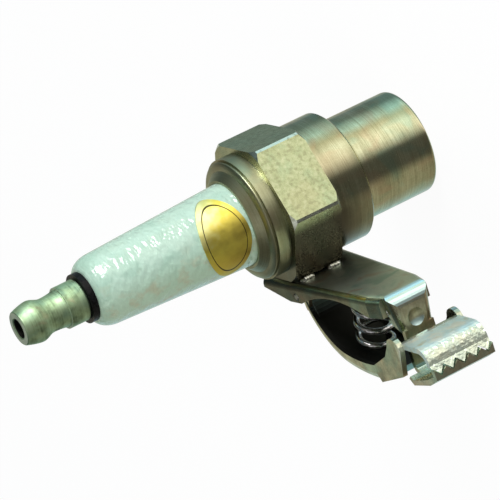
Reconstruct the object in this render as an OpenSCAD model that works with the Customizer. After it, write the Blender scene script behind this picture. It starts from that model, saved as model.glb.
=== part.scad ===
// Spark plug tester: a plug with a plain open barrel and a sprung ground clip welded to its hexagon.
// It stands on the barrel's rim, terminal up.
// The clip is welded to the flat that faces -X and points to -Y.
// Clip outlines are drawn as [reach, drop]: reach is measured out to -Y from the plug's axis,
// and drop is measured out to -X from it.

/* [Shell] */
// Diameter of the plain barrel
barrel_d = 16; // [15:0.1:17]
// Length of the plain barrel
barrel_l = 12.6; // [11:0.1:18]
// Rounding of the barrel's rim
rim_round = 0.6; // [0.2:0.1:0.9]
// Diameter of the shoulder between barrel and hexagon
shoulder_d = 19.9; // [18.4:0.1:22]
// Chamfer of the shoulder's lower edge
shoulder_chamfer = 0.3; // [0.1:0.1:0.8]
// Length of the shoulder
shoulder_l = 6.1; // [4:0.1:10]
// Size of the hexagon across its flats
hex_af = 20.6; // [20.4:0.1:22]
// Length of the hexagon
hex_l = 8.2; // [7:0.1:12]
// How far the hexagon's corners are broken at both ends
corner_break = 0.7; // [0.3:0.1:1.2]
// How far the hexagon's long edges are broken
edge_break = 0.15; // [0.1:0.05:0.3]
// Diameter of the collar above the hexagon
collar_d = 19.0; // [18.6:0.1:20.2]
// Length of the collar above the hexagon
collar_l = 2.1; // [1.5:0.1:5]
// Width of the groove between collar and crimp
groove_w = 0.3; // [0.2:0.1:0.8]
// Depth of the groove between collar and crimp
groove_depth = 0.5; // [0.2:0.1:0.8]
// Diameter of the crimp lip
lip_d = 18.4; // [18:0.1:20]
// Height of the crimp lip
lip_h = 1.6; // [1.4:0.1:3]
// Width of the crimp lip's rounded shoulder
lip_round = 1.2; // [0.4:0.1:1.4]
// Height of the crimp lip's rounded shoulder
lip_edge = 0.45; // [0.25:0.05:1]
// Width of the crimp lip's flat top
lip_land = 0.4; // [0.2:0.1:0.8]
// Diameter of the spark chamber in the barrel
chamber_d = 12; // [11.8:0.1:13]
// Depth of the spark chamber
chamber_depth = 8; // [7.5:0.1:9]
// Diameter of the hole through the inner ledge
ledge_d = 10.6; // [10.2:0.1:11]
// Thickness of the inner ledge that the insulator seats on
ledge_h = 1.4; // [1:0.1:2.5]

/* [Insulator] */
// Length of insulator that stands out of the shell
neck_l = 25.1; // [18:0.1:34]
// Diameter of the insulator where it leaves the shell
neck_d = 13; // [12.4:0.1:13.4]
// Diameter of the insulator below its rounded end
end_d = 10.9; // [10:0.1:12]
// Diameter of the flat that the washer sits on
end_flat_d = 7.6; // [7:0.1:8.4]
// Height of the insulator's rounded end
end_round_h = 3; // [1.5:0.1:4]
// Diameter of the insulator's flange inside the shell
flange_d = 14.4; // [14:0.1:14.6]
// Chamfer of the flange's lower edge
flange_chamfer = 1; // [0.5:0.1:1.2]
// Diameter of the insulator's nose at its tip
nose_d = 5; // [4.4:0.1:6]
// Rounding of the nose's tip
nose_round = 0.6; // [0.2:0.1:0.8]
// Height of the nose's tip above the rim
nose_tip_z = 5.4; // [5:0.1:6.5]
// Gap between the nose and the ledge's hole
nose_gap = 0.4; // [0.2:0.1:0.8]

/* [Electrode and terminal] */
// Diameter of the centre electrode
electrode_d = 2.5; // [2:0.1:3]
// Diameter of the electrode's copper core
core_d = 1.3; // [0.8:0.1:1.6]
// Length of solid electrode below its core
core_cover = 1.5; // [0.8:0.1:3]
// Height of the electrode's tip above the rim
electrode_tip_z = 4.5; // [4.3:0.1:4.9]
// Diameter of the bore for the electrode's head and the glass seal
seal_d = 3.8; // [3.6:0.1:4.4]
// Height of the electrode's head
head_h = 1.6; // [1:0.1:3]
// Height of the glass seal
seal_h = 9; // [6:0.1:12]
// Diameter of the terminal stud
stud_d = 3.2; // [2.8:0.1:3.4]
// Diameter of the small hole in the nut's tip
tip_hole_d = 2.4; // [1.6:0.1:3]
// How far the stud's end stays below the nut's tip
stud_recess = 1.8; // [0.5:0.1:4]
// Length of the terminal nut
nut_l = 10.3; // [9.5:0.1:12]
// Diameter of the nut's snap crest and base
crest_d = 6.35; // [6.2:0.05:6.6]
// Length of the snap crest's straight land
crest_l = 2.6; // [1.8:0.1:3]
// Diameter of the nut's tip and waist
waist_d = 5.2; // [4.8:0.1:5.6]
// Length of the slope from the crest to the waist
waist_slope = 0.5; // [0.2:0.1:0.8]
// Share of the waist's depth that its curve climbs before the base's step
waist_share = 0.7; // [0.3:0.05:0.9]
// Height of the nut's rounded tip
tip_h = 1.5; // [1:0.1:2]
// Length of the nut's straight base
base_l = 3.9; // [2.5:0.1:4.2]
// Chamfer of the nut's edges and the stud's end
nut_chamfer = 0.25; // [0.1:0.05:0.4]
// Diameter of the washer under the nut
washer_d = 7.6; // [7:0.1:9]
// Thickness of the washer under the nut
washer_h = 1; // [0.6:0.1:2]

/* [Packing] */
// Height of each steel packing ring
packing_h = 0.9; // [0.6:0.1:1.2]
// Height of the talc between the packing rings
talc_h = 2; // [1:0.1:4]
// Thickness of the gasket on the inner ledge
gasket_h = 0.5; // [0.3:0.1:0.8]
// Clearance between the clip and the shell's shoulder and collar
shell_clear = 0.1; // [0.05:0.05:0.25]
// Clearance of the packed pieces in their bores
pack_clear = 0.05; // [0.02:0.01:0.1]

/* [Label] */
// Height of the label along the insulator
label_h = 7.7; // [5:0.1:9]
// Width of the label around the insulator
label_w = 14.2; // [8:0.1:16]
// Gap between the crimp lip and the label
label_gap = 0.45; // [0.3:0.05:4]
// Turn of the label's middle from the clip's pointing direction
label_turn = 6; // [-30:1:30]
// Thickness of the foil
foil = 0.12; // [0.08:0.01:0.2]
// Thickness of the glue under the foil
foil_gap = 0.02; // [0.01:0.01:0.05]

/* [Clip plate] */
// Thickness of the pressed sheet
sheet = 0.8; // [0.6:0.05:0.9]
// Height of the clip's middle above the hexagon's lower end
clip_up = 2.7; // [2:0.1:4.5]
// How far the plate reaches back behind the plug's axis
plate_back = 3.2; // [2:0.1:6]
// Width of the plate at its hinge
plate_w = 11.6; // [11.4:0.1:12]
// Reach at which the plate's front draws in
front_reach = 23.5; // [22:0.1:25]
// Width of the plate where its front draws in
front_w = 9.4; // [8.6:0.1:9.6]
// Reach of the plate's front wall
wall_reach = 29; // [28.5:0.1:30]
// Width of the front wall at its top
wall_w = 7; // [6.4:0.1:7.4]
// Height of the front wall
wall_h = 6.3; // [5.8:0.1:6.6]
// Outer bend radius from plate to front wall
wall_bend = 2; // [1.2:0.1:3]
// Width of the front wall's side flanges
wall_flange = 1.4; // [1:0.1:2]
// Bend radius of the pressed edges, outside
edge_round = 1.2; // [1.05:0.05:1.5]
// Depth of the plate's side flanges
flange_depth = 3.1; // [3:0.1:4]
// Depth of the side flanges at the plate's back end
back_depth = 1.5; // [1.3:0.1:2]
// Reach at which the side flanges start to draw up to the back end
back_start = 3.2; // [2.6:0.1:3.4]
// Reach at which the arch in the side flanges starts
arch_start = 6.2; // [6:0.1:7]
// Distance of the arch's front end from the front wall
arch_front = 5.5; // [5.2:0.1:6.5]
// Rise of the arch cut in the side flanges
arch_rise = 1.7; // [0.8:0.1:1.9]
// Diameter of the pressed dimple in the front wall
dimple_d = 2.6; // [1.6:0.1:2.8]
// Depth of the pressed dimple in the front wall
dimple_depth = 0.35; // [0.1:0.05:0.45]
// Drop of the dimple's middle below the plate's top
dimple_down = 4.2; // [3.6:0.1:4.6]

/* [Clip jaws] */
// Width of the strap that carries the lower jaw
strap_w = 5; // [4:0.1:5.4]
// Inner bend radius from strap to lower jaw
strap_bend = 0.8; // [0.4:0.1:1.2]
// Drop from the plate's top to the upper jaw's top
jaw_drop = 5.8; // [5.6:0.1:6.4]
// Width of both jaws
jaw_w = 10.0; // [9.8:0.1:10.4]
// Reach of the jaws in front of the wall
jaw_l = 9.4; // [9:0.1:12]
// Outer radius of the upper jaw's arched front
jaw_round = 2.4; // [1.8:0.1:2.6]
// Distance between the jaws' outer faces
jaw_h = 6.4; // [6.2:0.1:8]
// Rise of the lower jaw's floor towards its lip
floor_rise = 0.8; // [0:0.1:0.9]
// Gap between the ears and the lower jaw
rear_gap = 0.5; // [0.4:0.1:0.8]
// Size of the lower jaw's turned-up rear edge
rear_step = 0.9; // [0.6:0.1:1]
// Drop from the upper jaw's top to its tooth tips
bite_drop = 3.7; // [3.6:0.1:4]
// How far the lips flare forwards
lip_flare = 0.8; // [0.4:0.1:1.2]
// Number of teeth on the upper lip
teeth = 5; // [3:1:8]
// Height of the teeth
tooth_h = 1; // [0.6:0.1:1.1]
// Gap between the closed teeth
bite_gap = 0.3; // [0.2:0.05:0.5]
// Gap between the upper jaw's back edge and the front wall
bridge_gap = 2.2; // [1.6:0.1:2.4]

/* [Handle and hinge] */
// Diameter of the hinge pin
pin_d = 1.2; // [1:0.1:1.3]
// Chamfer of the hinge pin's ends
pin_chamfer = 0.2; // [0.1:0.05:0.3]
// Running clearance of the pin in the handle's lugs, on radius
pin_run = 0.05; // [0.02:0.01:0.1]
// Fit of the pin in the plate's flanges, on radius
pin_fit = 0.01; // [0.005:0.005:0.02]
// How far each end of the pin stands out of the flanges
pin_proud = 0.15; // [0.1:0.05:0.3]
// Reach of the hinge pin
pin_reach = 5.2; // [5:0.1:5.4]
// Drop of the hinge pin below the plate's top
pin_down = 2.2; // [2.15:0.05:2.3]
// Radius of the lugs that turn on the pin
lug_r = 1.1; // [0.95:0.05:1.1]
// Width of the handle at its ears
ears_w = 11.2; // [10.8:0.1:11.6]
// Width of the handle at its tail
tail_w = 9.4; // [8.8:0.1:9.5]
// Drop of the belly's lowest line below the plate's top
belly_drop = 13; // [12.6:0.1:14]
// Reach of the belly's front corner
belly_front = 23.5; // [22.8:0.1:23.8]
// Reach of the belly's lowest line
belly_mid = 20.5; // [20:0.1:21]
// Reach at which the tail starts to curl up
tail_start = 13.6; // [13.3:0.1:13.9]
// Bend radius of the belly
belly_r = 36; // [34:1:38]
// Bend radius of the tail
tail_r = 13; // [12.5:0.1:13.5]
// Turn of the tail's end towards the plate
tail_turn = 78; // [74:1:79]
// Height of the belly's side flanges at the ears
belly_flange = 2.6; // [2.2:0.1:3.2]
// Height of the belly's side flanges at the tail
tail_flange = 1.5; // [1.45:0.05:1.7]
// Reach of the ears' middle
ear_reach = 30.2; // [29.8:0.1:30.4]
// Height of the ears above the upper jaw's top
ear_rise = 0.8; // [0.4:0.1:1.2]
// Width of the ears at their tops
ear_w = 3.6; // [3.2:0.1:3.8]
// How far the ears widen below their tops
ear_slope = 1.5; // [0.8:0.1:2]
// Reach of the ears' front foot
foot_reach = 30.5; // [30:0.1:30.8]
// Drop of the ears' front foot below the plate's top
foot_drop = 10.9; // [10.4:0.1:11.2]
// Length of the web that joins the ears in front of the belly
web_l = 2.6; // [1.5:0.1:2.8]

/* [Spring] */
// Outer diameter of the spring
spring_d = 6.0; // [4.5:0.1:6.5]
// Diameter of the spring's wire
wire_d = 1; // [0.7:0.05:1.1]
// Number of the spring's turns
turns = 3.5; // [2.5:0.5:4.5]
// Reach of the spring's end on the plate
spring_reach = 17.2; // [16.8:0.1:18]
// How far the spring leans back to stand square on the belly, in degrees
spring_lean = 18; // [14:1:19]
// Straight run of wire at each end, in wire diameters
end_run = 1; // [1:0.1:1.5]
// Gap between the spring's end and the belly
spring_gap = 0.1; // [0.05:0.05:0.3]

/* [Weld] */
// Length of each weld bead
bead_l = 2.4; // [1.8:0.1:3]
// Radius of each weld bead
bead_r = 0.75; // [0.5:0.05:0.85]
// Distance between the beads
bead_pitch = 4.6; // [3.4:0.1:5]

/* [Hidden] */
$fn = 72;
// Reach past a solid's faces for clean cuts
over = 1;

// Heights along the plug, from the rim up
hex_z = barrel_l + shoulder_l;
collar_z = hex_z + hex_l;
groove_z = collar_z + collar_l;
lip_z = groove_z + groove_w;
shell_top = lip_z + lip_h;
insulator_top = shell_top + neck_l;
washer_top = insulator_top + washer_h;
nut_top = washer_top + nut_l;
stud_top = nut_top - stud_recess;
ledge_top = chamber_depth + ledge_h;
seat_z = ledge_top + gasket_h;
flange_top = lip_z - 2 * packing_h - talc_h;
head_z = seat_z + flange_chamfer;
seal_z = head_z + head_h;
stud_z = seal_z + seal_h;
taper_top = insulator_top - end_round_h;

// Radii on the plug
hex_corner_r = hex_af / 2 / cos(30);
bore_r = flange_d / 2 + pack_clear;
lip_hole_r = neck_d / 2 + pack_clear;
seat_r = ledge_d / 2 - pack_clear;
crest_r = crest_d / 2;
waist_r = waist_d / 2;

// Places on the clip, as reach and drop from the plug's axis
clip_z = hex_z + clip_up;
plate_drop = hex_af / 2;
plate_under = plate_drop + sheet;
flange_low = plate_drop + flange_depth;
bend_at = [wall_reach - wall_bend, plate_drop + wall_bend];
wall_low = plate_drop + wall_h;
pin_at = [pin_reach, plate_drop + pin_down];
jaw_top = plate_drop + jaw_drop;
jaw_low = jaw_top + jaw_h;
lip_at = wall_reach + jaw_l;
jaw_front = lip_at - jaw_round;
// A length longer than any piece of the clip
span = 2 * lip_at;
tip_drop = jaw_top + bite_drop;
root_drop = tip_drop - tooth_h;
tooth_pitch = jaw_w / teeth;
plate_angle = atan((plate_w - front_w) / 2 / (front_reach - arch_start));
front_angle = atan((front_w - wall_w) / 2 / (wall_reach - front_reach));
wall_angle = atan((wall_w - strap_w) / 2 / wall_h);
belly_low = plate_drop + belly_drop;
belly_c = [belly_mid, belly_low - belly_r];
front_turn = asin((belly_front - belly_mid) / belly_r);
back_turn = asin((belly_mid - tail_start) / belly_r);
tail_c = belly_c + (belly_r - tail_r) * [-sin(back_turn), cos(back_turn)];
corner = belly_c + belly_r * [sin(front_turn), cos(front_turn)];
ear_c = [ear_reach, jaw_top - ear_rise + ear_w / 2];
foot = [foot_reach, plate_drop + foot_drop];
web_dir = (foot - corner) / norm(foot - corner);

// A run of points on an arc about c, from angle a to angle b
function arc(c, r, a, b, n = 8) =
    [for (i = [0 : n]) c + r * [cos(a + (b - a) * i / n), sin(a + (b - a) * i / n)]];

// A run of points on a quarter ellipse about c, from the radial to the upright half axis
function dome(c, rx, ry, n = 8) = [for (i = [0 : n]) c + [rx * cos(90 * i / n), ry * sin(90 * i / n)]];

// The insulator's radius at a height on its taper
function taper_r(z) = (neck_d + (end_d - neck_d) * (z - shell_top) / (taper_top - shell_top)) / 2;

// A plain ring from z up to top
module ring(r_in, r_out, z, top) {
    translate([0, 0, z])
        difference() {
            cylinder(r = r_out, h = top - z);
            translate([0, 0, -over])
                cylinder(r = r_in, h = top - z + 2 * over);
        }
}

// A hole along the plug's axis from z up to top
module hole(r, z, top) {
    translate([0, 0, z])
        cylinder(r = r, h = top - z);
}

// The turned outline of the shell without its hexagon
module shell_turning() {
    rotate_extrude()
        polygon(concat(
            [[0, 0]],
            arc([barrel_d / 2 - rim_round, rim_round], rim_round, -90, 0),
            [[barrel_d / 2, barrel_l], [shoulder_d / 2 - shoulder_chamfer, barrel_l],
             [shoulder_d / 2, barrel_l + shoulder_chamfer], [shoulder_d / 2, hex_z],
             [barrel_d / 2, hex_z], [barrel_d / 2, collar_z], [collar_d / 2, collar_z], [collar_d / 2, groove_z],
             [collar_d / 2 - groove_depth, groove_z], [collar_d / 2 - groove_depth, lip_z]],
            dome([lip_d / 2 - lip_round, lip_z], lip_round, lip_edge),
            [[lip_hole_r + lip_land, shell_top], [0, shell_top]]));
}

// The hexagon's prism, with flats facing -X and +X and its long edges broken
module hex_prism() {
    translate([0, 0, hex_z])
        intersection() {
            rotate(30)
                cylinder(r = hex_corner_r, h = hex_l, $fn = 6);
            cylinder(r = (hex_corner_r - edge_break) / cos(30), h = hex_l, $fn = 6);
        }
}

// The cone that breaks the hexagon's corners at both ends
module hex_break() {
    rotate_extrude()
        polygon([[0, hex_z], [hex_corner_r - corner_break, hex_z], [hex_corner_r, hex_z + corner_break],
                 [hex_corner_r, collar_z - corner_break], [hex_corner_r - corner_break, collar_z],
                 [0, collar_z]]);
}

module metal_shell() {
    color("darkkhaki")
        difference() {
            union() {
                shell_turning();
                intersection() {
                    hex_prism();
                    hex_break();
                }
            }
            hole(chamber_d / 2, -over, chamber_depth);
            hole(ledge_d / 2, 0, ledge_top + over);
            hole(bore_r, ledge_top, lip_z);
            hole(lip_hole_r, 0, shell_top + over);
        }
}

module insulator() {
    color("honeydew")
        difference() {
            rotate_extrude()
                polygon(concat(
                    [[0, nose_tip_z]],
                    arc([nose_d / 2 - nose_round, nose_tip_z + nose_round], nose_round, -90, 0),
                    [[seat_r - nose_gap, seat_z], [flange_d / 2 - flange_chamfer, seat_z],
                     [flange_d / 2, seat_z + flange_chamfer], [flange_d / 2, flange_top],
                     [neck_d / 2, flange_top], [neck_d / 2, shell_top]],
                    dome([end_flat_d / 2, taper_top], (end_d - end_flat_d) / 2, end_round_h),
                    [[0, insulator_top]]));
            hole(electrode_d / 2 + pack_clear, 0, head_z + over);
            hole(seal_d / 2, head_z, stud_z);
            hole(stud_d / 2 + pack_clear, seal_z, insulator_top + over);
        }
}

// A thin coat of foil on the taper, cut to an oval
module oval_label() {
    mid = shell_top + label_gap + label_h / 2;
    low = mid - label_h / 2;
    top = mid + label_h / 2;
    half_turn = label_w / 2 / taper_r(mid) * 180 / PI;
    half_w = (taper_r(mid) + foil) * sin(half_turn);
    color("gold")
        intersection() {
            rotate_extrude()
                polygon([[taper_r(low) + foil_gap, low], [taper_r(low) + foil_gap + foil, low],
                         [taper_r(top) + foil_gap + foil, top], [taper_r(top) + foil_gap, top]]);
            rotate(label_turn)
                translate([0, 0, mid])
                    rotate([90, 0, 0])
                        linear_extrude(neck_d)
                            polygon([for (a = [0 : 6 : 354]) [half_w * cos(a), label_h / 2 * sin(a)]]);
        }
}

module terminal_nut() {
    hole_r = stud_d / 2 + pack_clear;
    hole_top = stud_top + pack_clear;
    tip_r = tip_hole_d / 2;
    base_top = washer_top + base_l;
    groove_top = nut_top - tip_h - crest_l;
    waist_z = groove_top - waist_slope;
    rise = (crest_r - waist_r) * waist_share;
    color("darkkhaki")
        rotate_extrude()
            polygon(concat(
                [[hole_r, washer_top], [crest_r - nut_chamfer, washer_top],
                 [crest_r, washer_top + nut_chamfer], [crest_r, base_top]],
                [for (a = [90 : -15 : 0])
                    [waist_r + rise * (1 - cos(a)), waist_z - (waist_z - base_top) * sin(a)]],
                [[crest_r, groove_top]],
                dome([waist_r, nut_top - tip_h], crest_r - waist_r, tip_h),
                [[tip_r + nut_chamfer, nut_top], [tip_r, nut_top - nut_chamfer], [tip_r, hole_top],
                 [hole_r, hole_top]]));
}

module terminal_washer() {
    color("black")
        ring(stud_d / 2 + pack_clear, washer_d / 2, insulator_top, washer_top);
}

module terminal_stud() {
    color("silver")
        rotate_extrude()
            polygon([[0, stud_z], [stud_d / 2, stud_z], [stud_d / 2, stud_top - nut_chamfer],
                     [stud_d / 2 - nut_chamfer, stud_top], [0, stud_top]]);
}

module glass_seal() {
    color("dimgray")
        translate([0, 0, seal_z])
            cylinder(d = seal_d - 2 * pack_clear, h = seal_h);
}

module center_electrode() {
    color("silver")
        difference() {
            union() {
                translate([0, 0, electrode_tip_z])
                    cylinder(d = electrode_d, h = head_z - electrode_tip_z + head_h / 2);
                translate([0, 0, head_z])
                    cylinder(d = seal_d - 2 * pack_clear, h = head_h);
            }
            hole(core_d / 2 + pack_clear, electrode_tip_z + core_cover, seal_z + over);
        }
}

module electrode_core() {
    color("peru")
        translate([0, 0, electrode_tip_z + core_cover])
            cylinder(d = core_d, h = seal_z - electrode_tip_z - core_cover);
}

module lower_packing_ring() {
    color("gray")
        ring(lip_hole_r, bore_r - pack_clear, flange_top, flange_top + packing_h);
}

module talc_seal() {
    color("white")
        ring(lip_hole_r, bore_r - pack_clear, flange_top + packing_h, flange_top + packing_h + talc_h);
}

module upper_packing_ring() {
    color("gray")
        ring(lip_hole_r, bore_r - pack_clear, lip_z - packing_h, lip_z);
}

module seat_gasket() {
    color("peru")
        ring(ledge_d / 2, bore_r - pack_clear, ledge_top, seat_z);
}

// Draws a [reach, drop] outline across the clip, w wide about a line at shift from its middle
module across(w, shift = 0) {
    translate([0, 0, clip_z + shift - w / 2])
        linear_extrude(w)
            mirror([1, 1])
                children();
}

// A hole across the clip at a [reach, drop] place
module cross_hole(at, r) {
    translate([-at.y, -at.x, clip_z - span / 2])
        cylinder(r = r, h = span);
}

// Everything to one side of a pressed edge, in the plane of width and depth
module edge_side(half_w, depth, r) {
    translate([r - half_w, depth + r])
        circle(r);
    translate([r - half_w, depth])
        square(span);
    translate([-half_w, depth + r])
        square(span);
}

// The space common to a half of the clip and its mirror image
module both_sides() {
    intersection() {
        children();
        translate([0, 0, 2 * clip_z])
            mirror([0, 0, 1])
                children();
    }
}

// The space inside a pair of the plate's long edges, which draw together towards the front
module plate_edges(reach, half_w, angle, inset) {
    both_sides()
        translate([0, -reach, clip_z])
            rotate([-angle, 0, 0])
                translate([0, span / 2, 0])
                    rotate([0, -90, 0])
                        rotate([90, 0, 0])
                            linear_extrude(2 * span)
                                edge_side(half_w - inset, plate_drop + inset, edge_round - inset);
}

// The space inside the front wall's upright edges, which draw together towards the strap
module wall_edges(inset) {
    both_sides()
        translate([-plate_drop, -wall_reach, clip_z])
            rotate([0, wall_angle, 0])
                translate([span / 2, 0, 0])
                    rotate([0, -90, 0])
                        linear_extrude(2 * span)
                            edge_side(wall_w / 2 - inset, inset, edge_round - inset);
}

// The filled outline of the plate and its flanges, grown inwards by inset
module plate_fill(inset) {
    across(span)
        polygon([[-plate_back - inset, plate_drop + inset], [bend_at.x, plate_drop + inset],
                 [bend_at.x, flange_low + inset], [back_start, flange_low + inset],
                 [-plate_back - inset, plate_drop + back_depth + inset]]);
}

// The filled outline of the front wall and its flanges, grown inwards by inset
module wall_fill(inset) {
    across(span)
        polygon(concat(
            [[bend_at.x - wall_bend - inset, plate_drop + inset]],
            arc(bend_at, wall_bend - inset, -90, 0),
            [[wall_reach - inset, wall_low + inset], [wall_reach - wall_flange - inset, wall_low + inset],
             [bend_at.x - wall_flange - inset, flange_low + inset],
             [bend_at.x - wall_bend - inset, flange_low + inset]]));
}

// The pressed channel of plate and front wall as a filled form, or as its hollow when inset
module channel(inset) {
    intersection() {
        plate_edges(arch_start, plate_w / 2, plate_angle, inset);
        plate_edges(front_reach, front_w / 2, front_angle, inset);
        union() {
            plate_fill(inset);
            intersection() {
                wall_fill(inset);
                wall_edges(inset);
            }
        }
    }
}

// The arch that is cut from the plate's side flanges
module flange_arch() {
    half = (wall_reach - arch_front - arch_start) / 2;
    r = (half * half + arch_rise * arch_rise) / (2 * arch_rise);
    cross_hole([arch_start + half, flange_low - arch_rise + r], r);
}

// The strap that carries the sheet from the front wall down between the ears to the lower jaw
module strap() {
    bend = [wall_reach + strap_bend, jaw_low - sheet - strap_bend];
    front = foot.x + rear_gap + rear_step + sheet;
    across(strap_w)
        polygon(concat(
            [[wall_reach - sheet, wall_low - sheet], [wall_reach, wall_low - sheet]],
            arc(bend, strap_bend, 180, 90),
            [[front, jaw_low - sheet], [front, jaw_low]],
            arc(bend, strap_bend + sheet, 90, 180)));
}

// The arched upper jaw with its flared lip
module upper_jaw() {
    bend = [jaw_front, jaw_top + jaw_round];
    back = wall_reach + bridge_gap;
    across(jaw_w)
        polygon(concat(
            [[back, jaw_top + sheet], [back, jaw_top]],
            arc(bend, jaw_round, -90, 0),
            [[lip_at + lip_flare, tip_drop], [lip_at + lip_flare - sheet, tip_drop]],
            arc(bend, jaw_round - sheet, 0, -90)));
}

// The lower jaw: a floor with a turned-up rear edge and an upright lip
module lower_jaw() {
    lip = lip_at + lip_flare;
    lip_top = root_drop + bite_gap;
    rear = foot + [rear_gap, 0];
    floor_at = [rear.x + rear_step, jaw_low];
    front_at = [jaw_front + sheet, jaw_low - floor_rise];
    across(jaw_w)
        polygon([[rear.x, jaw_low - rear_step], floor_at, front_at, [lip, tip_drop + sheet],
                 [lip, lip_top], [lip - sheet, lip_top], [lip - sheet, tip_drop + sheet / 2],
                 front_at - [sheet / 2, sheet], floor_at + [sheet / 2, -sheet],
                 [rear.x, jaw_low - rear_step] + [sheet / 2, -sheet / 2]]);
}

// A row of notches between teeth, from a root line out past the tips
module notches(count, root, tip) {
    run = (tip - root) / tooth_h * tooth_pitch / 2;
    for (i = [0 : count - 1])
        translate([0, -(lip_at - jaw_round), clip_z + (i - (count - 1) / 2) * tooth_pitch])
            rotate([0, -90, 0])
                rotate([90, 0, 0])
                    linear_extrude(span)
                        polygon([[0, root], [run, tip], [-run, tip]]);
}

// Room in the clip for the shell's shoulder and collar
module shell_room() {
    translate([0, 0, barrel_l - shell_clear])
        cylinder(d = shoulder_d + 2 * shell_clear, h = shoulder_l + 2 * shell_clear);
    translate([0, 0, collar_z - shell_clear])
        cylinder(d = collar_d + 2 * shell_clear, h = collar_l + 2 * shell_clear);
}

module fixed_jaw() {
    dimple_r = (dimple_d * dimple_d / 4 + dimple_depth * dimple_depth) / (2 * dimple_depth);
    color("darkkhaki")
        difference() {
            union() {
                difference() {
                    channel(0);
                    channel(sheet);
                    flange_arch();
                }
                strap();
                difference() {
                    lower_jaw();
                    notches(teeth, tip_drop + bite_gap, root_drop - over);
                }
            }
            shell_room();
            cross_hole(pin_at, pin_d / 2 + pin_fit);
            translate([-(plate_drop + dimple_down), dimple_depth - dimple_r - wall_reach, clip_z])
                sphere(dimple_r);
        }
}

// Weld metal in the wedge between the hexagon and the plate
module weld_beads() {
    mid_z = hex_z + hex_l / 2;
    color("ivory")
        for (side = [-1, 1])
            difference() {
                translate([-plate_drop, -(hex_corner_r + bead_r) / 2, mid_z + side * bead_pitch / 2]) {
                    cylinder(r = bead_r, h = bead_l - 2 * bead_r, center = true);
                    for (end = [-1, 1])
                        translate([0, 0, end * (bead_l / 2 - bead_r)])
                            sphere(bead_r);
                }
                hex_prism();
                across(span)
                    translate([0, plate_drop])
                        square(span);
            }
}

// One slice of the belly's channel as outer and inner runs of [width, height] points
function slice_out(half_w, h, r, d) = concat(
    [[d - half_w, h]],
    [for (a = [180 : 30 : 270]) [edge_round - half_w, edge_round] + r * [cos(a), sin(a)]],
    [for (a = [270 : 30 : 360]) [half_w - edge_round, edge_round] + r * [cos(a), sin(a)]],
    [[half_w - d, h]]);

// The belly's stations: centre of the bend, its radius and the angle from straight down
belly_steps = 10;
tail_steps = 25;
stations = concat(
    [for (i = [0 : belly_steps - 1])
        [belly_c, belly_r, front_turn - (front_turn + back_turn) * i / belly_steps]],
    [for (i = [0 : tail_steps]) [tail_c, tail_r, -back_turn - (tail_turn - back_turn) * i / tail_steps]]);
tail_reach = tail_c.x - tail_r * sin(tail_turn);

// A point of the belly's channel at a station, from its width and its height above the outer face
function belly_point(s, q) =
    [-s[0].y - (s[1] - q.y) * cos(s[2]), -s[0].x - (s[1] - q.y) * sin(s[2]), clip_z - q.x];
function belly_share(s) = (s[0].x + s[1] * sin(s[2]) - tail_reach) / (corner.x - tail_reach);
function belly_slice(s) = let (
    half_w = (tail_w + (ears_w - tail_w) * belly_share(s)) / 2,
    h = tail_flange + (belly_flange - tail_flange) * belly_share(s),
    runs = concat(slice_out(half_w, h, edge_round, 0), slice_out(half_w, h, edge_round - sheet, sheet)))
    [for (q = runs) belly_point(s, q)];
// The two triangles between the points a and b and the points that follow them by step
function strip(a, b, step) = [[a, b, b + step], [a, b + step, a + step]];

// The belly handle: a pressed channel that narrows and curls up to its tail
module belly() {
    run = 10;
    per = 2 * run;
    last = len(stations) - 1;
    polyhedron(
        [for (s = stations) each belly_slice(s)],
        concat(
            [for (i = [0 : last - 1], j = [0 : run - 2]) each strip(i * per + j, i * per + j + 1, per)],
            [for (i = [0 : last - 1], j = [run : per - 2]) each strip(i * per + j + 1, i * per + j, per)],
            [for (i = [0 : last - 1]) each strip(i * per + run, i * per, per)],
            [for (i = [0 : last - 1]) each strip(i * per + run - 1, i * per + per - 1, per)],
            [for (j = [0 : run - 2]) each strip(j + 1, j, run)],
            [for (j = [0 : run - 2]) each strip(last * per + j, last * per + j + 1, run)]));
}

// A place on the belly's side as [reach, drop], at a height above its outer face
function belly_side(s, h) = s[0] + (s[1] - h) * [sin(s[2]), cos(s[2])];

// The two lugs at the tail that turn on the pin
module lugs() {
    inset = 2 * pack_clear;
    from = stations[len(stations) - 1 - tail_steps / 5];
    for (side = [-1, 1])
        across(sheet - 2 * inset, side * (tail_w - sheet) / 2) {
            translate(pin_at)
                circle(lug_r);
            polygon([pin_at - [lug_r, 0], pin_at + [lug_r, 0],
                     belly_side(from, tail_flange - inset), belly_side(from, sheet / 2)]);
        }
}

// The two ears that rise on both sides of the strap
module ears() {
    for (side = [-1, 1])
        across(sheet, side * (ears_w - sheet) / 2)
            polygon(concat(
                [corner, corner - [sheet, edge_round], corner - [sheet, belly_flange],
                 ear_c + [-ear_w / 2 - ear_slope, ear_slope]],
                arc(ear_c, ear_w / 2, 190, 360),
                [foot]));
}

// The web that joins the ears in front of the belly
module web() {
    up = sheet * [web_dir.y, -web_dir.x];
    end = corner + web_l * web_dir;
    across(ears_w)
        polygon([corner, end, end + up, corner + up]);
}

module moving_jaw() {
    color("darkkhaki")
        difference() {
            union() {
                belly();
                lugs();
                ears();
                web();
                difference() {
                    upper_jaw();
                    notches(teeth + 1, root_drop, tip_drop + tooth_h);
                }
            }
            cross_hole(pin_at, pin_d / 2 + pin_run);
        }
}

module pivot_pin() {
    end = plate_w / 2 + pin_proud;
    color("silver")
        translate([-pin_at.y, -pin_at.x, clip_z])
            rotate_extrude()
                polygon([[0, -end], [pin_d / 2 - pin_chamfer, -end], [pin_d / 2, pin_chamfer - end],
                         [pin_d / 2, end - pin_chamfer], [pin_d / 2 - pin_chamfer, end], [0, end]]);
}

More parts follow.
